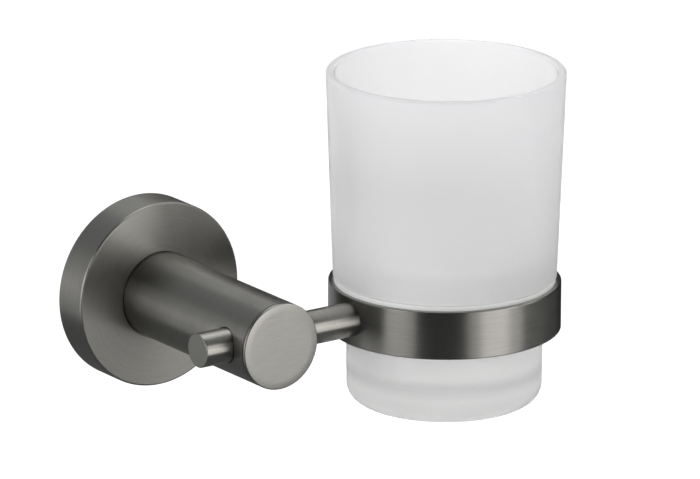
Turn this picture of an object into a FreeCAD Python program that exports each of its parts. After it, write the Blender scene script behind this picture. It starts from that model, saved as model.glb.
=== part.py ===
import FreeCAD
import Part

import math
import os

# A wall-mounted tumbler holder. A flange on the wall carries a round post, a thin rod crosses the post
# near its free end, and the rod's right end carries a ring with a frosted glass tumbler in it.
# The wall is the plane y = 0 and the holder stands out of it towards -Y. +X is to the right and +Z is up.
# The origin is where the post's axis meets the wall. All sizes are in millimetres.

# Wall flange
FLANGE_DIAMETER = 55.0
FLANGE_DEPTH = 11.6
FLANGE_WALL = 3.2
FLANGE_FLOOR = 3.0
FLANGE_FRONT_ROUND = 0.6
FLANGE_BACK_CHAMFER = 0.3

# Wall plate inside the flange
PLATE_THICKNESS = 6.0
PLATE_CLEARANCE = 0.3
PLATE_GROOVE_DEPTH = 1.2
PLATE_GROOVE_FROM_WALL = 3.6
WALL_SLOT_SPACING = 28.0
WALL_SLOT_WIDTH = 5.0
WALL_SLOT_LENGTH = 9.0
WALL_SLOT_COUNTERSINK = 1.6

# Post: a tube, the slug in its wall end and the cap on its free end
POST_DIAMETER = 25.4
POST_WALL = 2.0
POST_REACH = 73.3
POST_SEAT_DEPTH = 1.0
POST_SEAT_CLEARANCE = 0.3
INSERT_LENGTH = 16.0
INSERT_CHAMFER = 0.6
CAP_HEAD = 1.2
CAP_CROWN_WIDTH = 2.4
CAP_CROWN_DROP = 0.15
CAP_EDGE_ROUND = 0.4
CAP_PLUG_WEB = 4.0
SEAM_WIDTH = 0.25
SEAM_DEPTH = 0.8

# Bolt, spring washer and dowel that hold the post on the flange
BOLT_DIAMETER = 6.0
BOLT_HEAD_DIAMETER = 10.0
BOLT_HEAD_HEIGHT = 4.0
BOLT_HEAD_ROUND = 0.5
BOLT_HEAD_ROOM = 2.0
BOLT_SOCKET = 4.0
BOLT_SOCKET_DEPTH = 2.3
BOLT_ENGAGEMENT = 8.4
BOLT_HOLE_CLEARANCE = 0.3
WASHER_WIDTH = 2.6
WASHER_THICKNESS = 1.6
WASHER_CLEARANCE = 0.1
WASHER_SLIT = 1.0
WASHER_SLIT_ANGLE = 25.0
PIN_DIAMETER = 3.0
PIN_OFFSET = 8.0
PIN_ENGAGEMENT = 4.0
PIN_RECESS = 0.2

# Cross rod: the peg on the left of the post and the arm on its right
ROD_DIAMETER = 10.0
ROD_SETBACK = 10.5
ROD_HOLE_CLEARANCE = 0.25
PEG_LENGTH = 8.9
PEG_EDGE_ROUND = 0.3
ARM_LENGTH = 18.4
ROD_DIMPLE_DEPTH = 1.0

# Set screws under the flange and under the post
SET_SCREW_DIAMETER = 4.0
SET_SCREW_RECESS = 0.4
SET_SCREW_TIP_DIAMETER = 0.8
SET_SCREW_SOCKET = 2.0
SET_SCREW_SOCKET_DEPTH = 1.8
SET_SCREW_SEAT_GAP = 0.05

# Ring and the screw that fastens it to the rod
RING_WALL = 1.55
RING_HEIGHT = 14.2
RING_DROP = 0.6
RING_LEDGE_WIDTH = 2.2
RING_LEDGE_THICKNESS = 2.0
RING_EDGE_ROUND = 0.35
RING_SCREW_DIAMETER = 5.0
RING_SCREW_CLEARANCE = 0.2
RING_SCREW_ENGAGEMENT = 10.0
RING_SCREW_HEAD_DIAMETER = 8.6
RING_SCREW_HEAD_THICKNESS = 1.2
RING_SCREW_HEAD_ROOM = 0.4
RING_SCREW_SOCKET = 3.0
RING_SCREW_SOCKET_DEPTH = 2.0

# Plastic liner inside the ring
LINER_WALL = 1.5
LINER_CLEARANCE = 0.1
LINER_SEAT_WIDTH = 2.8
LINER_SEAT_HEIGHT = 3.0
LINER_LIP = 1.3
LINER_EDGE_ROUND = 0.25

# Tumbler: a narrower foot below its shoulder and a wider bowl above it
NECK_DIAMETER = 57.4
NECK_CLEARANCE = 0.6
NECK_ROUND = 0.5
BASE_TAPER = 0.4
BASE_ROUND = 5.2
BASE_THICKNESS = 8.5
BASE_HOLLOW_DIAMETER = 36.0
BASE_HOLLOW_DEPTH = 0.8
FOOT_HEIGHT = 37.3
FOOT_WALL = 2.8
SHOULDER_STEP = 3.7
SHOULDER_ROUND = 0.5
BOWL_HEIGHT = 61.2
BOWL_FLARE = 2.25
BOWL_WALL = 2.5
RIM_ROUND = 0.9
INSIDE_STEP_HEIGHT = 8.0
INSIDE_STEP_ROUND = 7.0
INSIDE_FLOOR_ROUND = 2.5

# Radial gap of pieces that are screwed, pressed or brazed together
FIT_GAP = 0.05

# How far a cutting shape runs past the face it cuts, and how closely an edge is matched to a size
CUT_PAST = 1.0
MATCH = 1e-4

LEFT = FreeCAD.Vector(-1, 0, 0)
RIGHT = FreeCAD.Vector(1, 0, 0)
OUT = FreeCAD.Vector(0, -1, 0)
UP = FreeCAD.Vector(0, 0, 1)
DOWN = FreeCAD.Vector(0, 0, -1)
ORIGIN = FreeCAD.Vector(0, 0, 0)

# Radii and places that follow from the sizes above
flange_radius = FLANGE_DIAMETER / 2
flange_bore = flange_radius - FLANGE_WALL
flange_inside = FLANGE_DEPTH - FLANGE_FLOOR
plate_radius = flange_bore - PLATE_CLEARANCE
post_radius = POST_DIAMETER / 2
post_bore = post_radius - POST_WALL
post_seat = FLANGE_DEPTH - POST_SEAT_DEPTH
post_front = POST_REACH - CAP_HEAD
plug_radius = post_bore - FIT_GAP
rod_radius = ROD_DIAMETER / 2
rod_depth = POST_REACH - ROD_SETBACK
set_screw_radius = SET_SCREW_DIAMETER / 2
bolt_radius = BOLT_DIAMETER / 2
bolt_head_radius = BOLT_HEAD_DIAMETER / 2
bolt_seat = flange_inside - WASHER_THICKNESS

neck_radius = NECK_DIAMETER / 2
liner_bore = neck_radius + NECK_CLEARANCE
liner_radius = liner_bore + LINER_SEAT_WIDTH
ring_bore = liner_radius + LINER_CLEARANCE
ring_radius = ring_bore + RING_WALL
ring_x = post_radius + ARM_LENGTH + ring_radius
ring_top = RING_HEIGHT / 2 - RING_DROP
ring_bottom = ring_top - RING_HEIGHT
ledge_top = ring_bottom + RING_LEDGE_THICKNESS
liner_top = ring_top + LINER_LIP
shoulder_radius = neck_radius + SHOULDER_STEP
rim_radius = shoulder_radius + BOWL_FLARE
base_radius = neck_radius - BASE_TAPER
base_height = liner_top - FOOT_HEIGHT
rim_height = liner_top + BOWL_HEIGHT

rod_axis = OUT * rod_depth
ring_axis = RIGHT * ring_x + rod_axis


def turned(base, along, outward, steps):
    """Turn a closed half section about the axis through base.

    A step of two numbers is a corner (radius, distance along the axis). A step of four numbers is an arc
    through its first corner to its second.
    """

    def corner(radius, distance):
        return base + outward * radius + along * distance

    edges = []
    start = corner(*steps[-1][-2:])
    for step in steps:
        end = corner(*step[-2:])
        if len(step) == 4:
            edges.append(Part.Arc(start, corner(*step[:2]), end).toShape())
        else:
            edges.append(Part.makeLine(start, end))
        start = end
    return Part.Face(Part.Wire(edges)).revolve(base, along, 360)


def turned_on_wall(steps):
    """A piece turned about the post's axis; distances run out of the wall."""
    return turned(ORIGIN, OUT, RIGHT, steps)


def turned_in_ring(steps):
    """A piece turned about the ring's upright axis; distances are heights."""
    return turned(ring_axis, UP, RIGHT, steps)


def round_bar(radius, start, end):
    """A cylinder from one point to another."""
    return Part.makeCylinder(radius, (end - start).Length, start, end - start)


def circles(solid, radius, centre):
    """The solid's full circles of one radius about one point."""
    found = []
    for edge in solid.Edges:
        if edge.Degenerated or not isinstance(edge.Curve, Part.Circle):
            continue
        if abs(edge.Curve.Radius - radius) < MATCH and edge.Curve.Center.distanceToPoint(centre) < MATCH:
            found.append(edge)
    return found


def hexagon_bar(across_flats, start, end):
    """A hexagonal bar from one point to another, as the space of a hexagon key."""
    along = end - start
    corner = FreeCAD.Rotation(UP, along).multVec(RIGHT * (across_flats / math.sqrt(3)))
    corners = [start + FreeCAD.Rotation(along, 60 * turn).multVec(corner) for turn in range(7)]
    return Part.Face(Part.makePolygon(corners)).extrude(along)


def slot_outline(middle_x, depth, grow):
    """The outline of one wall-screw slot, widened all round by grow, at a depth from the wall."""
    radius = WALL_SLOT_WIDTH / 2 + grow
    half_run = (WALL_SLOT_LENGTH - WALL_SLOT_WIDTH) / 2
    middle = RIGHT * middle_x + OUT * depth
    top_left = middle + LEFT * half_run + UP * radius
    top_right = middle + RIGHT * half_run + UP * radius
    low_right = middle + RIGHT * half_run + DOWN * radius
    low_left = middle + LEFT * half_run + DOWN * radius
    right_end = middle + RIGHT * (half_run + radius)
    left_end = middle + LEFT * (half_run + radius)
    edges = [
        Part.makeLine(top_left, top_right),
        Part.Arc(top_right, right_end, low_right).toShape(),
        Part.makeLine(low_right, low_left),
        Part.Arc(low_left, left_end, top_left).toShape(),
    ]
    return Part.Wire(edges)


def set_screw(outer_end, inward, apex_distance):
    """A cone-point grub screw whose cone would end apex_distance inward of its socketed end."""
    tip_radius = SET_SCREW_TIP_DIAMETER / 2
    outward = FreeCAD.Rotation(UP, inward).multVec(RIGHT)
    steps = [
        (0, 0),
        (set_screw_radius, 0),
        (set_screw_radius, apex_distance - set_screw_radius),
        (tip_radius, apex_distance - tip_radius),
        (0, apex_distance - tip_radius),
    ]
    body = turned(outer_end, inward, outward, steps)
    socket = hexagon_bar(SET_SCREW_SOCKET, outer_end, outer_end + inward * SET_SCREW_SOCKET_DEPTH)
    return body.cut(socket)


def wall_plate():
    """The disc screwed to the wall, with a groove round its edge for the flange's set screw."""
    hole_radius = bolt_head_radius + BOLT_HEAD_ROOM
    groove_radius = plate_radius - PLATE_GROOVE_DEPTH
    steps = [
        (hole_radius, 0),
        (plate_radius, 0),
        (plate_radius, PLATE_GROOVE_FROM_WALL - PLATE_GROOVE_DEPTH),
        (groove_radius, PLATE_GROOVE_FROM_WALL),
        (plate_radius, PLATE_GROOVE_FROM_WALL + PLATE_GROOVE_DEPTH),
        (plate_radius, PLATE_THICKNESS),
        (hole_radius, PLATE_THICKNESS),
    ]
    plate = turned_on_wall(steps)
    for side in (-1, 1):
        middle_x = side * WALL_SLOT_SPACING / 2
        back = slot_outline(middle_x, -CUT_PAST, 0)
        plate = plate.cut(Part.Face(back).extrude(OUT * (PLATE_THICKNESS + 2 * CUT_PAST)))
        front = slot_outline(middle_x, PLATE_THICKNESS, WALL_SLOT_COUNTERSINK)
        narrow = slot_outline(middle_x, PLATE_THICKNESS - WALL_SLOT_COUNTERSINK, 0)
        plate = plate.cut(Part.makeLoft([front, narrow], True, True))
    return plate


def wall_flange():
    """The round cover over the wall plate, with a seat for the post in its front face."""
    hole_radius = bolt_radius + BOLT_HOLE_CLEARANCE
    seat_radius = post_radius + POST_SEAT_CLEARANCE
    steps = [
        (hole_radius, flange_inside),
        (flange_bore, flange_inside),
        (flange_bore, 0),
        (flange_radius, 0),
        (flange_radius, FLANGE_DEPTH),
        (seat_radius, FLANGE_DEPTH),
        (seat_radius, post_seat),
        (hole_radius, post_seat),
    ]
    cover = turned_on_wall(steps)
    cover = cover.makeFillet(FLANGE_FRONT_ROUND, circles(cover, flange_radius, OUT * FLANGE_DEPTH))
    cover = cover.makeChamfer(FLANGE_BACK_CHAMFER, circles(cover, flange_radius, ORIGIN))
    pin_place = UP * PIN_OFFSET
    pin_hole = round_bar(
        PIN_DIAMETER / 2 + FIT_GAP,
        pin_place + OUT * (flange_inside - CUT_PAST),
        pin_place + OUT * (post_seat + CUT_PAST),
    )
    screw_place = OUT * PLATE_GROOVE_FROM_WALL
    screw_hole = round_bar(
        set_screw_radius + FIT_GAP,
        screw_place + DOWN * plate_radius,
        screw_place + DOWN * (flange_radius + CUT_PAST),
    )
    return cover.cut([pin_hole, screw_hole])


def flange_set_screw():
    """The grub screw under the flange, whose point sits in the wall plate's groove."""
    outer_radius = flange_radius - SET_SCREW_RECESS
    apex_radius = plate_radius - PLATE_GROOVE_DEPTH + SET_SCREW_SEAT_GAP * math.sqrt(2)
    outer_end = OUT * PLATE_GROOVE_FROM_WALL + DOWN * outer_radius
    return set_screw(outer_end, UP, outer_radius - apex_radius)


def post_tube():
    """The post's tube, crossed by the rod, with the tapped hole for the rod's set screw below it."""
    steps = [
        (post_bore, post_seat),
        (post_radius, post_seat),
        (post_radius, post_front),
        (post_bore, post_front),
    ]
    return turned_on_wall(steps).cut([rod_hole(ROD_HOLE_CLEARANCE), rod_screw_hole()])


def rod_hole(clearance):
    """The space of the cross rod through the post, with a radial clearance."""
    reach = post_radius + CUT_PAST
    return round_bar(rod_radius + clearance, rod_axis + LEFT * reach, rod_axis + RIGHT * reach)


def rod_screw_hole():
    """The space of the rod's set screw, from the rod down through the post's wall."""
    return round_bar(set_screw_radius + FIT_GAP, rod_axis, rod_axis + DOWN * (post_radius + CUT_PAST))


def post_insert():
    """The slug in the post's wall end, tapped for the bolt and drilled for the dowel."""
    tap_radius = bolt_radius + FIT_GAP
    end = post_seat + INSERT_LENGTH
    steps = [
        (tap_radius, post_seat),
        (plug_radius, post_seat),
        (plug_radius, end - INSERT_CHAMFER),
        (plug_radius - INSERT_CHAMFER, end),
        (tap_radius, end),
    ]
    pin_place = UP * PIN_OFFSET
    pin_hole = round_bar(
        PIN_DIAMETER / 2 + FIT_GAP,
        pin_place + OUT * (post_seat - CUT_PAST),
        pin_place + OUT * (post_seat + PIN_ENGAGEMENT + CUT_PAST),
    )
    return turned_on_wall(steps).cut(pin_hole)


def post_bolt():
    """The low-headed bolt from behind the flange into the post's slug."""
    head_back = bolt_seat - BOLT_HEAD_HEIGHT
    steps = [
        (0, head_back),
        (bolt_head_radius, head_back),
        (bolt_head_radius, bolt_seat),
        (bolt_radius, bolt_seat),
        (bolt_radius, post_seat + BOLT_ENGAGEMENT),
        (0, post_seat + BOLT_ENGAGEMENT),
    ]
    bolt = turned_on_wall(steps)
    bolt = bolt.makeFillet(BOLT_HEAD_ROUND, circles(bolt, bolt_head_radius, OUT * head_back))
    socket = hexagon_bar(BOLT_SOCKET, OUT * head_back, OUT * (head_back + BOLT_SOCKET_DEPTH))
    return bolt.cut(socket)


def post_lock_washer():
    """The split spring washer under the bolt's head, drawn flat as it is when tight."""
    inner = bolt_radius + WASHER_CLEARANCE
    outer = inner + WASHER_WIDTH
    steps = [
        (inner, bolt_seat),
        (outer, bolt_seat),
        (outer, flange_inside),
        (inner, flange_inside),
    ]
    length = 2 * (WASHER_THICKNESS + WASHER_SLIT)
    slit = Part.makeBox(WASHER_SLIT, length, outer, FreeCAD.Vector(-WASHER_SLIT / 2, -length / 2, 0))
    slit.rotate(ORIGIN, UP, WASHER_SLIT_ANGLE)
    slit.translate(OUT * (bolt_seat + WASHER_THICKNESS / 2))
    return turned_on_wall(steps).cut(slit)


def locating_pin():
    """The dowel between the flange's floor and the post's slug."""
    place = UP * PIN_OFFSET
    start = place + OUT * (flange_inside + PIN_RECESS)
    return round_bar(PIN_DIAMETER / 2, start, place + OUT * (post_seat + PIN_ENGAGEMENT))


def post_end_cap():
    """The cap on the post's free end: a crowned head over a narrow seam, and a plug that the rod passes through."""
    plug_end = rod_depth - rod_radius - CAP_PLUG_WEB
    flat_radius = post_radius - CAP_CROWN_WIDTH
    crown_radius = (CAP_CROWN_WIDTH**2 + CAP_CROWN_DROP**2) / (2 * CAP_CROWN_DROP)
    half_drop = crown_radius - math.sqrt(crown_radius**2 - (CAP_CROWN_WIDTH / 2) ** 2)
    steps = [
        (0, plug_end),
        (plug_radius, plug_end),
        (plug_radius, post_front),
        (post_radius - SEAM_DEPTH, post_front),
        (post_radius - SEAM_DEPTH, post_front + SEAM_WIDTH),
        (post_radius, post_front + SEAM_WIDTH),
        (post_radius, POST_REACH - CAP_CROWN_DROP),
        (flat_radius + CAP_CROWN_WIDTH / 2, POST_REACH - half_drop, flat_radius, POST_REACH),
        (0, POST_REACH),
    ]
    cap = turned_on_wall(steps)
    edge = circles(cap, post_radius, OUT * (POST_REACH - CAP_CROWN_DROP))
    cap = cap.makeFillet(CAP_EDGE_ROUND, edge)
    return cap.cut([rod_hole(FIT_GAP), rod_screw_hole()])


def cross_rod():
    """The rod through the post: a flat-ended peg on the left, coped to the ring on the right."""
    left_end = rod_axis + LEFT * (post_radius + PEG_LENGTH)
    bar = round_bar(rod_radius, left_end, ring_axis)
    bar = bar.makeFillet(PEG_EDGE_ROUND, circles(bar, rod_radius, left_end))
    saddle = Part.makeCylinder(ring_radius + FIT_GAP, 2 * ROD_DIAMETER, ring_axis + DOWN * ROD_DIAMETER, UP)
    screw_seat = RIGHT * (ring_x - ring_bore) + rod_axis
    tapped_length = RING_WALL + RING_SCREW_ENGAGEMENT + CUT_PAST
    tapped = round_bar(RING_SCREW_DIAMETER / 2 + FIT_GAP, screw_seat, screw_seat + LEFT * tapped_length)
    dimple_mouth = rod_axis + DOWN * rod_radius
    dimple = Part.makeCone(ROD_DIMPLE_DEPTH, 0, ROD_DIMPLE_DEPTH, dimple_mouth, UP)
    return bar.cut([saddle, tapped, dimple])


def rod_set_screw():
    """The grub screw under the post, whose point sits in the rod's dimple."""
    outer_radius = post_radius - SET_SCREW_RECESS
    apex_radius = rod_radius - ROD_DIMPLE_DEPTH + SET_SCREW_SEAT_GAP * math.sqrt(2)
    return set_screw(rod_axis + DOWN * outer_radius, UP, outer_radius - apex_radius)


def tumbler_ring():
    """The metal band, with a ledge inside its lower edge for the liner and a flat for its screw's head."""
    ledge_bore = ring_bore - RING_LEDGE_WIDTH
    steps = [
        (ledge_bore, ring_bottom),
        (ring_radius, ring_bottom),
        (ring_radius, ring_top),
        (ring_bore, ring_top),
        (ring_bore, ledge_top),
        (ledge_bore, ledge_top),
    ]
    band = turned_in_ring(steps)
    edges = []
    for radius, height in (
        (ring_radius, ring_bottom),
        (ring_radius, ring_top),
        (ring_bore, ring_top),
        (ledge_bore, ring_bottom),
    ):
        edges += circles(band, radius, ring_axis + UP * height)
    band = band.makeFillet(RING_EDGE_ROUND, edges)
    seat = ring_axis + LEFT * ring_bore
    flat = round_bar(RING_SCREW_HEAD_DIAMETER / 2 + RING_SCREW_HEAD_ROOM, seat, seat + RIGHT * CUT_PAST)
    hole = round_bar(
        RING_SCREW_DIAMETER / 2 + RING_SCREW_CLEARANCE,
        seat + RIGHT * CUT_PAST,
        seat + LEFT * (RING_WALL + CUT_PAST),
    )
    return band.cut([flat, hole])


def ring_screw():
    """The thin-headed screw from inside the ring into the rod's end."""
    seat = ring_axis + LEFT * ring_bore
    head_radius = RING_SCREW_HEAD_DIAMETER / 2
    length = RING_WALL + RING_SCREW_ENGAGEMENT
    steps = [
        (0, -RING_SCREW_HEAD_THICKNESS),
        (head_radius, -RING_SCREW_HEAD_THICKNESS),
        (head_radius, 0),
        (RING_SCREW_DIAMETER / 2, 0),
        (RING_SCREW_DIAMETER / 2, length),
        (0, length),
    ]
    screw = turned(seat, LEFT, UP, steps)
    head_face = seat + RIGHT * RING_SCREW_HEAD_THICKNESS
    socket = hexagon_bar(RING_SCREW_SOCKET, head_face, head_face + LEFT * RING_SCREW_SOCKET_DEPTH)
    return screw.cut(socket)


def ring_liner():
    """The plastic sleeve on the ring's ledge; its thick upper edge carries the tumbler's shoulder."""
    sleeve_bore = liner_radius - LINER_WALL
    seat_bottom = liner_top - LINER_SEAT_HEIGHT
    steps = [
        (sleeve_bore, ledge_top),
        (liner_radius, ledge_top),
        (liner_radius, liner_top),
        (liner_bore, liner_top),
        (liner_bore, seat_bottom),
        (sleeve_bore, seat_bottom),
    ]
    sleeve = turned_in_ring(steps)
    top = ring_axis + UP * liner_top
    edges = circles(sleeve, liner_radius, top) + circles(sleeve, liner_bore, top)
    sleeve = sleeve.makeFillet(LINER_EDGE_ROUND, edges)
    half_width = RING_SCREW_HEAD_DIAMETER / 2 + RING_SCREW_HEAD_ROOM
    window_corner = ring_axis + LEFT * (liner_radius + CUT_PAST) + OUT * half_width
    window_corner.z = ledge_top - CUT_PAST
    window_depth = LINER_WALL + 2 * CUT_PAST
    window = Part.makeBox(window_depth, 2 * half_width, half_width - window_corner.z, window_corner)
    return sleeve.cut(window)


def tumbler():
    """The glass: a foot that passes through the liner, a shoulder that rests on it and a flared bowl."""
    outside = [
        (0, base_height),
        (base_radius, base_height),
        (neck_radius, liner_top),
        (shoulder_radius, liner_top),
        (rim_radius, rim_height),
        (0, rim_height),
    ]
    glass = turned_in_ring(outside)

    def edge(radius, height):
        return circles(glass, radius, ring_axis + UP * height)

    glass = glass.makeFillet(BASE_ROUND, edge(base_radius, base_height))
    glass = glass.makeFillet(NECK_ROUND, edge(neck_radius, liner_top))
    glass = glass.makeFillet(SHOULDER_ROUND, edge(shoulder_radius, liner_top))
    glass = glass.cut([tumbler_inside(), base_hollow()])
    inner_rim = rim_radius - BOWL_WALL
    return glass.makeFillet(RIM_ROUND, edge(rim_radius, rim_height) + edge(inner_rim, rim_height))


def tumbler_inside():
    """The space inside the glass, which steps in above the shoulder and ends in a rounded floor."""
    step_bottom = liner_top
    step_top = liner_top + INSIDE_STEP_HEIGHT
    floor = base_height + BASE_THICKNESS
    flare_at_step = BOWL_FLARE * INSIDE_STEP_HEIGHT / BOWL_HEIGHT
    taper_at_floor = BASE_TAPER * (liner_top - floor) / FOOT_HEIGHT
    floor_radius = neck_radius - taper_at_floor - FOOT_WALL
    waist_radius = neck_radius - FOOT_WALL
    bowl_radius = shoulder_radius + flare_at_step - BOWL_WALL
    steps = [
        (0, floor),
        (floor_radius, floor),
        (waist_radius, step_bottom),
        (bowl_radius, step_top),
        (rim_radius - BOWL_WALL, rim_height),
        (rim_radius - BOWL_WALL, rim_height + CUT_PAST),
        (0, rim_height + CUT_PAST),
    ]
    space = turned_in_ring(steps)
    waist = circles(space, waist_radius, ring_axis + UP * step_bottom)
    bowl = circles(space, bowl_radius, ring_axis + UP * step_top)
    space = space.makeFillet(INSIDE_STEP_ROUND, waist + bowl)
    return space.makeFillet(INSIDE_FLOOR_ROUND, circles(space, floor_radius, ring_axis + UP * floor))


def base_hollow():
    """The shallow dome under the base, which leaves the glass standing on a ring."""
    half_width = BASE_HOLLOW_DIAMETER / 2
    ball_radius = (half_width**2 + BASE_HOLLOW_DEPTH**2) / (2 * BASE_HOLLOW_DEPTH)
    middle = ring_axis + UP * (base_height + BASE_HOLLOW_DEPTH - ball_radius)
    return Part.makeSphere(ball_radius, middle)


PIECES = [
    wall_plate,
    wall_flange,
    flange_set_screw,
    post_tube,
    post_insert,
    post_bolt,
    post_lock_washer,
    locating_pin,
    post_end_cap,
    cross_rod,
    rod_set_screw,
    tumbler_ring,
    ring_screw,
    ring_liner,
    tumbler,
]

os.makedirs("parts", exist_ok=True)
for piece in PIECES:
    piece().exportStep(os.path.join("parts", piece.__name__ + ".step"))
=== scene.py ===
# Finishes, studio and camera for a wall-mounted holder with a frosted glass tumbler. Lengths in metres.
import math
from functools import partial

import bpy
from mathutils import Matrix, Vector

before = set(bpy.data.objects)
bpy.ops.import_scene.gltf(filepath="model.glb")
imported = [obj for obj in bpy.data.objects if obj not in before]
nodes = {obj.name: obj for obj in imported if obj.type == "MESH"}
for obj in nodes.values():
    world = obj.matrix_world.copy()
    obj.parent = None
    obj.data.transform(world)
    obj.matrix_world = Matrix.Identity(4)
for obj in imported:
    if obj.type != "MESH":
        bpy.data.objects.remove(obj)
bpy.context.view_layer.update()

# Axes, and the points that the finishes are turned about
X_AXIS = (1.0, 0.0, 0.0)
Y_AXIS = (0.0, 1.0, 0.0)
Z_AXIS = (0.0, 0.0, 1.0)
POST_CENTRE = (0.0, 0.0, 0.0)
ROD_CENTRE = (0.0, -0.0628, 0.0)
RING_CENTRE = (0.06485, -0.0628, 0.0)

# Heights on the tumbler from the ring's middle, and radii of the middle of its wall
FOOT_HEIGHT = -0.0295
FLOOR_MIDDLE = -0.026
CORNER_HEIGHT = -0.0192
SHOULDER_HEIGHT = 0.0078
RIM_EDGE = 0.0678
RIM_HEIGHT = 0.069
FOOT_MIDDLE = 0.0271
BOWL_MIDDLE = 0.0311
RIM_MIDDLE = 0.0334

# Brushing: widths and lengths of the grooves, how fast their noise changes on the way round, and how
# squarely a surface faces along an axis to count as a flat end
GROOVE_PITCH = 0.0003
GROOVE_DETAIL = 3.0
GROOVE_WANDER = 3.0
RING_WANDER = 6.0
END_STROKE = 10 * GROOVE_PITCH
END_FACING = 0.8
CAP_PITCH = 0.0004
CAP_STROKE = 0.005
CAP_TILT = math.radians(5)
CAP_GROOVE = (math.cos(CAP_TILT), 0.0, math.sin(CAP_TILT))
CAP_ACROSS = (-math.sin(CAP_TILT), 0.0, math.cos(CAP_TILT))

# Metals and plastic: colours, roughness, and how far brushed highlights are drawn out
GUNMETAL_DARK = (0.25, 0.245, 0.228, 1.0)
GUNMETAL_LIGHT = (0.35, 0.342, 0.319, 1.0)
GUNMETAL_ROUGHNESS = 0.31
FLANGE_ROUGHNESS = 0.36
ROUGHNESS_STEP = 0.02
GUNMETAL_STRETCH = 0.7
STEEL_DARK = (0.6, 0.6, 0.59, 1.0)
STEEL_LIGHT = (0.74, 0.735, 0.72, 1.0)
STEEL_ROUGHNESS = (0.3, 0.42)
STEEL_STRETCH = 0.5
OXIDE_DARK = (0.018, 0.018, 0.019, 1.0)
OXIDE_LIGHT = (0.045, 0.044, 0.042, 1.0)
OXIDE_ROUGHNESS = (0.38, 0.52)
OXIDE_METALLIC = 0.6
PLASTIC_DARK = (0.74, 0.755, 0.745, 1.0)
PLASTIC_LIGHT = (0.8, 0.81, 0.8, 1.0)
PLASTIC_ROUGHNESS = (0.42, 0.52)
PLASTIC_IOR = 1.49

# Glass: colours at the foot (carrying painted shade), at the lit rim, and the painted-shade grey for the
# foot's corner and the shoulder; how much the painted shade by height and a faint cloud count in going from
# the first to the second; and roughness
GLASS_SHADED_FOOT = (0.92, 0.92, 0.917, 1.0)
GLASS_LIT_RIM = (0.945, 0.942, 0.952, 1.0)
GLASS_PAINTED_SHADE = (0.6, 0.605, 0.605, 1.0)
PAINTED_RISE_SHARE = 0.9
CLOUD_SHARE = 0.1
GLASS_IOR = 1.5
SATIN_ROUGHNESS = (0.62, 0.7)
SMOOTH_ROUGHNESS = (0.3, 0.38)

# Glass: how much painted shade greys the foot's inner corner and the glass round the shoulder, how much
# painted light whitens the shoulder's edge, how much light goes through, and how far from the corner or the
# shoulder each of these reaches
CORNER_PAINTED_SHADE = 0.8
CORNER_REACH = 0.0032
SHOULDER_PAINTED_SHADE = 0.28
SHOULDER_REACH = 0.022
EDGE_PAINTED_LIGHT = 0.42
EDGE_START = 0.0005
EDGE_REACH = 0.0012
SHOULDER_CLEAR = 0.5
GLASS_CLEAR = 0.84
CLEAR_START = 0.004
CLEAR_REACH = 0.034

# Camera, as the photograph was taken
CAMERA_PLACE = Vector((-1.26028, -1.88592, 0.69712))
CAMERA_AZIMUTH = -35.3136
CAMERA_ELEVATION = 16.7676
CAMERA_ROLL = 0.2155
CAMERA_LENS = 419.07
CAMERA_SENSOR = 36.0

# Studio
STUDIO_CENTRE = Vector((0.035, -0.055, 0.015))
WORLD_FILL = 0.8
WHITE = (1.0, 1.0, 1.0, 1.0)
FLOOR_HEIGHT = -0.25
FLOOR_SIDE = 12.0
FLOOR_COLOUR = (0.9, 0.9, 0.9, 1.0)
FLOOR_ROUGHNESS = 0.9
FLOOR_GLOW = 0.3
LAMP_DISTANCE = 0.6
LAMP_WARM = (1.0, 0.985, 0.95)
LAMP_NEUTRAL = (1.0, 1.0, 1.0)
CARD_DISTANCE = 0.7
CARD_TINT = (0.95, 0.98, 1.0, 1.0)
CARD_STEPS = 12
CARD_ROWS = 6
CARD_LOW = -22
CARD_MIDDLE = 30
CARD_HIGH = 75
FLOOR_CARD_STEPS = 48
FLOOR_CARD_LIFT = 0.002


def put(tree, socket, value):
    """Fills a socket with a link from another socket, or with a plain value."""
    if isinstance(value, bpy.types.NodeSocket):
        tree.links.new(value, socket)
    else:
        socket.default_value = value


def scalar(tree, operation, first, second=0.0):
    """A Math node's result."""
    node = tree.nodes.new("ShaderNodeMath")
    node.operation = operation
    put(tree, node.inputs[0], first)
    put(tree, node.inputs[1], second)
    return node.outputs[0]


def vector(tree, operation, first, second=(0.0, 0.0, 0.0)):
    """A Vector Math node's result."""
    node = tree.nodes.new("ShaderNodeVectorMath")
    node.operation = operation
    put(tree, node.inputs[0], first)
    put(tree, node.inputs[1], second)
    single = operation in ("LENGTH", "DOT_PRODUCT")
    return node.outputs["Value" if single else "Vector"]


def joined(tree, x, y, z):
    """Three numbers as one vector."""
    node = tree.nodes.new("ShaderNodeCombineXYZ")
    for socket, value in zip(node.inputs, (x, y, z)):
        put(tree, socket, value)
    return node.outputs["Vector"]


def parted(tree, value):
    """The three numbers of a vector."""
    node = tree.nodes.new("ShaderNodeSeparateXYZ")
    put(tree, node.inputs["Vector"], value)
    return list(node.outputs)


def noise(tree, place, scale, detail, turn=None):
    """Noise between 0 and 1, with turn as a fourth coordinate where it is given."""
    node = tree.nodes.new("ShaderNodeTexNoise")
    node.noise_dimensions = "3D" if turn is None else "4D"
    put(tree, node.inputs["Vector"], place)
    if turn is not None:
        put(tree, node.inputs["W"], turn)
    node.inputs["Scale"].default_value = scale
    node.inputs["Detail"].default_value = detail
    return node.outputs["Fac"]


def spread(tree, value, at_start, at_end, start=0.3, end=0.7):
    """Maps start to at_start and end to at_end. The default range is where most of a noise lies."""
    node = tree.nodes.new("ShaderNodeMapRange")
    put(tree, node.inputs["Value"], value)
    node.inputs["From Min"].default_value = start
    node.inputs["From Max"].default_value = end
    node.inputs["To Min"].default_value = at_start
    node.inputs["To Max"].default_value = at_end
    return node.outputs["Result"]


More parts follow.
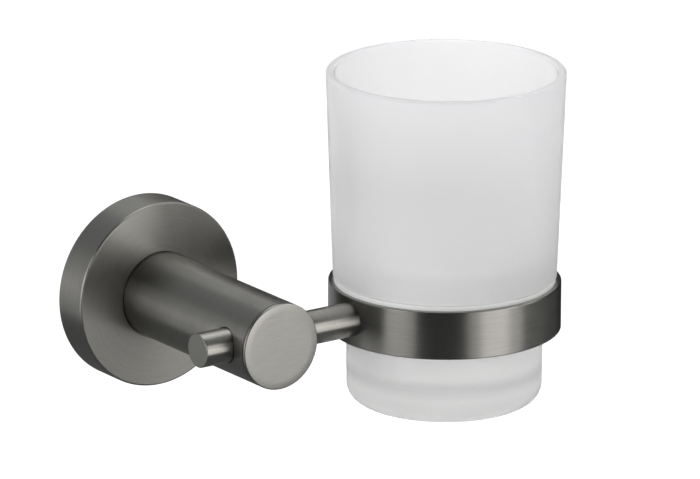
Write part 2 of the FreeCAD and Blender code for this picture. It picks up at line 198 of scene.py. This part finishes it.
def mixed(tree, amount, first, second, kind="RGBA"):
    """A mix of two colours, or of two numbers or vectors where kind says FLOAT or VECTOR."""
    node = tree.nodes.new("ShaderNodeMix")
    node.data_type = kind
    put(tree, node.inputs["Factor"], amount)
    put(tree, node.inputs["A"], first)
    put(tree, node.inputs["B"], second)
    return node.outputs["Result"]


def bumped(tree, height, depth):
    """A bump normal from a height between 0 and 1, which is as deep as depth."""
    node = tree.nodes.new("ShaderNodeBump")
    node.inputs["Strength"].default_value = 1.0
    node.inputs["Distance"].default_value = depth
    put(tree, node.inputs["Height"], height)
    return node.outputs["Normal"]


def new_material(name):
    """A new node material: the material, its node tree and its Principled shader."""
    material = bpy.data.materials.new(name)
    material.use_nodes = True
    tree = material.node_tree
    return material, tree, tree.nodes["Principled BSDF"]


def mesh_place(tree):
    """The point on the piece, in the frame's metres."""
    return tree.nodes.new("ShaderNodeTexCoord").outputs["Object"]


def geometry(tree, name):
    """A Geometry node's result."""
    return tree.nodes.new("ShaderNodeNewGeometry").outputs[name]


def turned_brushing(tree, axis, centre, wander):
    """Brushing round an axis: the grooves' direction, and a noise fine across them and long along them."""
    offset = vector(tree, "SUBTRACT", mesh_place(tree), centre)
    along = vector(tree, "DOT_PRODUCT", offset, axis)
    groove = vector(tree, "CROSS_PRODUCT", axis, offset)
    radius = vector(tree, "LENGTH", groove)
    direction = parted(tree, vector(tree, "NORMALIZE", groove))
    around = [part for part, share in zip(direction, axis) if not share]
    across = joined(
        tree,
        scalar(tree, "DIVIDE", radius, GROOVE_PITCH),
        scalar(tree, "DIVIDE", along, GROOVE_PITCH),
        scalar(tree, "MULTIPLY", around[0], wander),
    )
    turn = scalar(tree, "MULTIPLY", around[1], wander)
    return groove, noise(tree, across, scale=1.0, detail=GROOVE_DETAIL, turn=turn)


def straight_brushing(tree, groove, across, pitch, stroke):
    """Brushing one way: the grooves' direction, and a noise fine across them and long along them."""
    place = mesh_place(tree)
    lengthways = scalar(tree, "DIVIDE", vector(tree, "DOT_PRODUCT", place, groove), stroke)
    sideways = scalar(tree, "DIVIDE", vector(tree, "DOT_PRODUCT", place, across), pitch)
    strokes = joined(tree, lengthways, sideways, 0.0)
    return groove, noise(tree, strokes, scale=1.0, detail=GROOVE_DETAIL)


def ended_brushing(tree, axis, centre, wander, end_groove, end_across):
    """Brushing round an axis, with straight strokes on the flat ends that face along it."""
    round_groove, round_grain = turned_brushing(tree, axis, centre, wander)
    flat_groove, flat_grain = straight_brushing(tree, end_groove, end_across, GROOVE_PITCH, END_STROKE)
    facing = scalar(tree, "ABSOLUTE", vector(tree, "DOT_PRODUCT", geometry(tree, "Normal"), axis))
    on_end = scalar(tree, "GREATER_THAN", facing, END_FACING)
    groove = mixed(tree, on_end, round_groove, flat_groove, "VECTOR")
    return groove, mixed(tree, on_end, round_grain, flat_grain, "FLOAT")


def across_grooves(tree, groove):
    """The direction on the surface in which brushing draws highlights out."""
    return vector(tree, "CROSS_PRODUCT", groove, geometry(tree, "Normal"))


def brushed_gunmetal(name, roughness, brushing):
    """Grey coated steel with fine brushing that draws its highlights out across the grooves."""
    material, tree, shader = new_material(name)
    groove, grain = brushing(tree)
    cloud = noise(tree, mesh_place(tree), scale=90.0, detail=2.0)
    put(tree, shader.inputs["Base Color"], mixed(tree, grain, GUNMETAL_DARK, GUNMETAL_LIGHT))
    shader.inputs["Metallic"].default_value = 1.0
    shader.inputs["Anisotropic"].default_value = GUNMETAL_STRETCH
    fine = spread(tree, grain, -ROUGHNESS_STEP, ROUGHNESS_STEP)
    broad = spread(tree, cloud, roughness - ROUGHNESS_STEP, roughness + ROUGHNESS_STEP)
    put(tree, shader.inputs["Roughness"], scalar(tree, "ADD", fine, broad))
    put(tree, shader.inputs["Tangent"], across_grooves(tree, groove))
    put(tree, shader.inputs["Normal"], bumped(tree, grain, depth=0.000002))
    return material


def machined_steel(name, brushing):
    """Bare steel with fine turning marks."""
    material, tree, shader = new_material(name)
    groove, grain = brushing(tree)
    put(tree, shader.inputs["Base Color"], mixed(tree, grain, STEEL_DARK, STEEL_LIGHT))
    shader.inputs["Metallic"].default_value = 1.0
    shader.inputs["Anisotropic"].default_value = STEEL_STRETCH
    put(tree, shader.inputs["Roughness"], spread(tree, grain, *STEEL_ROUGHNESS))
    put(tree, shader.inputs["Tangent"], across_grooves(tree, groove))
    put(tree, shader.inputs["Normal"], bumped(tree, grain, depth=0.000005))
    return material


def blackened_steel(name):
    """Black oxide on a small screw."""
    material, tree, shader = new_material(name)
    mottle = noise(tree, mesh_place(tree), scale=1800.0, detail=4.0)
    put(tree, shader.inputs["Base Color"], mixed(tree, mottle, OXIDE_DARK, OXIDE_LIGHT))
    shader.inputs["Metallic"].default_value = OXIDE_METALLIC
    put(tree, shader.inputs["Roughness"], spread(tree, mottle, *OXIDE_ROUGHNESS))
    put(tree, shader.inputs["Normal"], bumped(tree, mottle, depth=0.00001))
    return material


def milky_plastic(name):
    """The pale, cloudy plastic of the ring's liner."""
    material, tree, shader = new_material(name)
    haze = noise(tree, mesh_place(tree), scale=260.0, detail=3.0)
    put(tree, shader.inputs["Base Color"], mixed(tree, haze, PLASTIC_DARK, PLASTIC_LIGHT))
    shader.inputs["IOR"].default_value = PLASTIC_IOR
    put(tree, shader.inputs["Roughness"], spread(tree, haze, *PLASTIC_ROUGHNESS))
    put(tree, shader.inputs["Normal"], bumped(tree, haze, depth=0.00002))
    return material


def distance_from(tree, height, place):
    """How far a height is from another, above or below it."""
    return scalar(tree, "ABSOLUTE", scalar(tree, "SUBTRACT", height, place))


def glass_inside(tree, height, radius):
    """1 on the inside of the tumbler and 0 on its outside and rim, told apart by the middle of its wall."""
    bowl = spread(tree, height, BOWL_MIDDLE, RIM_MIDDLE, start=SHOULDER_HEIGHT, end=RIM_HEIGHT)
    above_shoulder = scalar(tree, "GREATER_THAN", height, SHOULDER_HEIGHT)
    wall_middle = mixed(tree, above_shoulder, FOOT_MIDDLE, bowl, "FLOAT")
    within_wall = scalar(tree, "LESS_THAN", radius, wall_middle)
    above_base = scalar(tree, "GREATER_THAN", height, FLOOR_MIDDLE)
    below_rim = scalar(tree, "LESS_THAN", height, RIM_EDGE)
    return scalar(tree, "MULTIPLY", within_wall, scalar(tree, "MULTIPLY", above_base, below_rim))


def glass_colour(tree, place, height, from_shoulder):
    """Faintly clouded white, with painted shade that greys it towards the foot, at the foot's inner corner
    and round the shoulder.
    """
    cloud = noise(tree, place, scale=45.0, detail=2.0)
    # Painted shade: the colour greys from the rim down to the foot, with a faint random cloud on top
    rise = spread(tree, height, 0.0, PAINTED_RISE_SHARE, start=FOOT_HEIGHT, end=RIM_HEIGHT)
    level = scalar(tree, "ADD", rise, spread(tree, cloud, 0.0, CLOUD_SHARE))
    # Painted shade: a grey band at the foot's inner corner, and grey round the shoulder where the glass
    # sits in the ring
    from_corner = distance_from(tree, height, CORNER_HEIGHT)
    corner = spread(tree, from_corner, CORNER_PAINTED_SHADE, 0.0, start=0.0, end=CORNER_REACH)
    shoulder_shade = spread(tree, from_shoulder, SHOULDER_PAINTED_SHADE, 0.0, start=0.0, end=SHOULDER_REACH)
    painted_shade = scalar(tree, "MAXIMUM", corner, shoulder_shade)
    return mixed(tree, painted_shade, mixed(tree, level, GLASS_SHADED_FOOT, GLASS_LIT_RIM), GLASS_PAINTED_SHADE)


def frosted_glass(name):
    """Glass etched to a satin white outside and left smoother inside, with painted light whitening its
    shoulder's edge.
    """
    material, tree, shader = new_material(name)
    place = mesh_place(tree)
    x, y, height = parted(tree, vector(tree, "SUBTRACT", place, RING_CENTRE))
    radius = vector(tree, "LENGTH", joined(tree, x, y, 0.0))
    from_shoulder = distance_from(tree, height, SHOULDER_HEIGHT)
    # Painted light: the shoulder's edge is whitened and lets less light through, lifting the shade of the
    # groove above the liner
    painted_edge_light = spread(tree, from_shoulder, EDGE_PAINTED_LIGHT, 0.0, start=EDGE_START, end=EDGE_REACH)
    colour = glass_colour(tree, place, height, from_shoulder)
    put(tree, shader.inputs["Base Color"], mixed(tree, painted_edge_light, colour, GLASS_LIT_RIM))
    clear = spread(tree, from_shoulder, SHOULDER_CLEAR, GLASS_CLEAR, start=CLEAR_START, end=CLEAR_REACH)
    off_edge = scalar(tree, "SUBTRACT", 1.0, painted_edge_light)
    put(tree, shader.inputs["Transmission Weight"], scalar(tree, "MULTIPLY", clear, off_edge))
    shader.inputs["IOR"].default_value = GLASS_IOR
    etch = noise(tree, place, scale=2600.0, detail=3.0)
    satin = spread(tree, etch, *SATIN_ROUGHNESS)
    smooth = spread(tree, etch, *SMOOTH_ROUGHNESS)
    inside = glass_inside(tree, height, radius)
    put(tree, shader.inputs["Roughness"], mixed(tree, inside, satin, smooth, "FLOAT"))
    put(tree, shader.inputs["Normal"], bumped(tree, etch, depth=0.000004))
    return material


def dress(material, *names):
    """Gives CAD pieces a finish."""
    for name in names:
        nodes[name].data.materials.clear()
        nodes[name].data.materials.append(material)


# How each kind of piece is brushed or turned
post_turning = partial(turned_brushing, axis=Y_AXIS, centre=POST_CENTRE, wander=GROOVE_WANDER)
screw_turning = partial(turned_brushing, axis=X_AXIS, centre=ROD_CENTRE, wander=GROOVE_WANDER)
ring_turning = partial(turned_brushing, axis=Z_AXIS, centre=RING_CENTRE, wander=RING_WANDER)
rod_turning = partial(
    ended_brushing,
    axis=X_AXIS,
    centre=ROD_CENTRE,
    wander=GROOVE_WANDER,
    end_groove=Z_AXIS,
    end_across=Y_AXIS,
)
cap_strokes = partial(
    straight_brushing,
    groove=CAP_GROOVE,
    across=CAP_ACROSS,
    pitch=CAP_PITCH,
    stroke=CAP_STROKE,
)

# Finishes
dress(brushed_gunmetal("gunmetal_flange", FLANGE_ROUGHNESS, post_turning), "wall_flange")
dress(brushed_gunmetal("gunmetal_post", GUNMETAL_ROUGHNESS, post_turning), "post_tube")
dress(brushed_gunmetal("gunmetal_cap", GUNMETAL_ROUGHNESS, cap_strokes), "post_end_cap")
dress(brushed_gunmetal("gunmetal_rod", GUNMETAL_ROUGHNESS, rod_turning), "cross_rod")
dress(brushed_gunmetal("gunmetal_ring", GUNMETAL_ROUGHNESS, ring_turning), "tumbler_ring")
dress(
    machined_steel("steel_plate", post_turning),
    "wall_plate",
    "post_insert",
    "post_bolt",
    "post_lock_washer",
    "locating_pin",
)
dress(machined_steel("steel_screw", screw_turning), "ring_screw")
dress(blackened_steel("black_screws"), "flange_set_screw", "rod_set_screw")
dress(milky_plastic("liner"), "ring_liner")
dress(frosted_glass("frosted"), "tumbler")


def towards(azimuth, elevation):
    """A direction from the object: azimuth 0 is the front and 90 the right, elevation 90 is straight up."""
    turn = math.radians(azimuth)
    rise = math.radians(elevation)
    return Vector((math.sin(turn) * math.cos(rise), -math.cos(turn) * math.cos(rise), math.sin(rise)))


def seen_directly(tree):
    """1 for rays from the camera and for those that metal and glass send on, otherwise 0."""
    path = tree.nodes.new("ShaderNodeLightPath")
    shiny = scalar(tree, "MAXIMUM", path.outputs["Is Glossy Ray"], path.outputs["Is Transmission Ray"])
    return scalar(tree, "MAXIMUM", path.outputs["Is Camera Ray"], shiny)


def studio_world():
    """White to look at, and a plain soft fill for everything it lights."""
    world = bpy.data.worlds.new("studio")
    bpy.context.scene.world = world
    world.use_nodes = True
    tree = world.node_tree
    background = tree.nodes["Background"]
    background.inputs["Color"].default_value = WHITE
    strength = spread(tree, seen_directly(tree), WORLD_FILL, 1.0, start=0.0, end=1.0)
    put(tree, background.inputs["Strength"], strength)


def floor_material():
    """White that keeps shadows, and is clear from below so that the object's underside can be seen."""
    material, tree, shader = new_material("floor_white")
    shader.inputs["Base Color"].default_value = FLOOR_COLOUR
    shader.inputs["Roughness"].default_value = FLOOR_ROUGHNESS
    shader.inputs["Specular IOR Level"].default_value = 0.0
    shader.inputs["Emission Color"].default_value = WHITE
    glow = scalar(tree, "MULTIPLY", seen_directly(tree), FLOOR_GLOW)
    put(tree, shader.inputs["Emission Strength"], glow)
    from_above = scalar(tree, "SUBTRACT", 1.0, geometry(tree, "Backfacing"))
    put(tree, shader.inputs["Alpha"], from_above)
    return material


def stage_piece(name, points, faces, material):
    """A mesh that belongs to the studio and not to the object."""
    mesh = bpy.data.meshes.new(name)
    mesh.from_pydata(points, [], faces)
    mesh.materials.append(material)
    piece = bpy.data.objects.new(name, mesh)
    bpy.context.scene.collection.objects.link(piece)
    return piece


def studio_floor():
    """A plain pale floor."""
    half = FLOOR_SIDE / 2
    sides = ((-half, -half), (half, -half), (half, half), (-half, half))
    corners = [(x, y, FLOOR_HEIGHT) for x, y in sides]
    stage_piece("floor", corners, [(0, 1, 2, 3)], floor_material())


def lamp(name, azimuth, elevation, width, height, level, colour=LAMP_NEUTRAL, mirrored=True, lighting=True):
    """A soft lamp turned to the object, as bright as its level where white is 1.

    Shiny surfaces show it if it is mirrored, and it falls on matt surfaces if it is lighting.
    """
    data = bpy.data.lights.new(name, "AREA")
    data.shape = "RECTANGLE"
    data.size = width
    data.size_y = height
    data.energy = level * math.pi * width * height
    data.color = colour
    holder = bpy.data.objects.new(name, data)
    back = towards(azimuth, elevation)
    holder.location = STUDIO_CENTRE + back * LAMP_DISTANCE
    holder.rotation_euler = back.to_track_quat("Z", "Y").to_euler()
    holder.visible_transmission = False
    holder.visible_glossy = mirrored
    holder.visible_diffuse = lighting
    bpy.context.scene.collection.objects.link(holder)


def card_material(name, level):
    """An even grey for a card, as bright as its level where white is 1."""
    material = bpy.data.materials.new(name)
    material.use_nodes = True
    tree = material.node_tree
    tree.nodes.clear()
    glow = tree.nodes.new("ShaderNodeEmission")
    glow.inputs["Color"].default_value = CARD_TINT
    glow.inputs["Strength"].default_value = level
    output = tree.nodes.new("ShaderNodeOutputMaterial")
    put(tree, output.inputs["Surface"], glow.outputs["Emission"])
    return material


def grey_card(name, level, points, faces):
    """A grey card that shows only in the shiny surfaces, as a studio's cards do."""
    card = stage_piece(name, points, faces, card_material(name, level))
    card.visible_camera = False
    card.visible_diffuse = False
    card.visible_transmission = False
    card.visible_shadow = False


def curved_card(name, level, azimuths, elevations):
    """A card bent round the object, between two azimuths and two elevations."""
    points = []
    for row in range(CARD_ROWS + 1):
        elevation = elevations[0] + (elevations[1] - elevations[0]) * row / CARD_ROWS
        for step in range(CARD_STEPS + 1):
            azimuth = azimuths[0] + (azimuths[1] - azimuths[0]) * step / CARD_STEPS
            points.append(STUDIO_CENTRE + towards(azimuth, elevation) * CARD_DISTANCE)
    width = CARD_STEPS + 1
    faces = []
    for row in range(CARD_ROWS):
        for step in range(CARD_STEPS):
            corner = row * width + step
            faces.append((corner, corner + 1, corner + 1 + width, corner + width))
    grey_card(name, level, points, faces)


def floor_card(name, level, radius):
    """A round card lying on the floor under the object."""
    points = []
    for step in range(FLOOR_CARD_STEPS):
        turn = 2 * math.pi * step / FLOOR_CARD_STEPS
        x = STUDIO_CENTRE.x + radius * math.cos(turn)
        y = STUDIO_CENTRE.y + radius * math.sin(turn)
        points.append((x, y, FLOOR_HEIGHT + FLOOR_CARD_LIFT))
    grey_card(name, level, points, [tuple(range(FLOOR_CARD_STEPS))])


studio_world()
studio_floor()

# Lamps, with a direction in degrees and sides in metres
lamp("key_low", azimuth=16.0, elevation=-5.0, width=0.30, height=0.30, level=1.7, colour=LAMP_WARM)
lamp("key_high", azimuth=55.0, elevation=14.0, width=0.54, height=0.32, level=1.75, lighting=False)
lamp("fill_left", azimuth=-95.0, elevation=2.5, width=0.56, height=0.18, level=1.35, colour=LAMP_WARM)
lamp("top_back", azimuth=155.0, elevation=74.0, width=0.34, height=0.34, level=2.15)
lamp("soft_left", azimuth=-112.0, elevation=28.0, width=0.6, height=0.6, level=2.1, mirrored=False)

# Cards that the metal mirrors
floor_card("card_below", level=0.15, radius=0.65)
curved_card("card_back", level=0.36, azimuths=(155, 235), elevations=(CARD_LOW, CARD_HIGH))
curved_card("card_front", level=0.03, azimuths=(-62, -11), elevations=(CARD_LOW, CARD_MIDDLE))
curved_card("card_right", level=0.085, azimuths=(46, 106), elevations=(CARD_LOW, CARD_MIDDLE))
curved_card("card_far", level=0.03, azimuths=(106, 155), elevations=(CARD_LOW, CARD_MIDDLE))
curved_card("card_upper", level=0.04, azimuths=(-125, 22), elevations=(CARD_MIDDLE, CARD_HIGH))
curved_card("card_over", level=0.38, azimuths=(22, 75), elevations=(CARD_MIDDLE, CARD_HIGH))


def photo_camera():
    """A long lens at the photograph's angle."""
    forward = -towards(CAMERA_AZIMUTH, CAMERA_ELEVATION)
    right = forward.cross(Vector(Z_AXIS)).normalized()
    up = right.cross(forward)
    roll = math.radians(CAMERA_ROLL)
    rolled_right = right * math.cos(roll) + up * math.sin(roll)
    rolled_up = up * math.cos(roll) - right * math.sin(roll)
    data = bpy.data.cameras.new("photo_camera")
    data.sensor_fit = "HORIZONTAL"
    data.sensor_width = CAMERA_SENSOR
    data.lens = CAMERA_LENS
    camera = bpy.data.objects.new("photo_camera", data)
    axes = Matrix((rolled_right, rolled_up, -forward)).transposed()
    camera.matrix_world = Matrix.Translation(CAMERA_PLACE) @ axes.to_4x4()
    bpy.context.scene.collection.objects.link(camera)
    bpy.context.scene.camera = camera


photo_camera()
bpy.context.scene.view_settings.view_transform = "Standard"
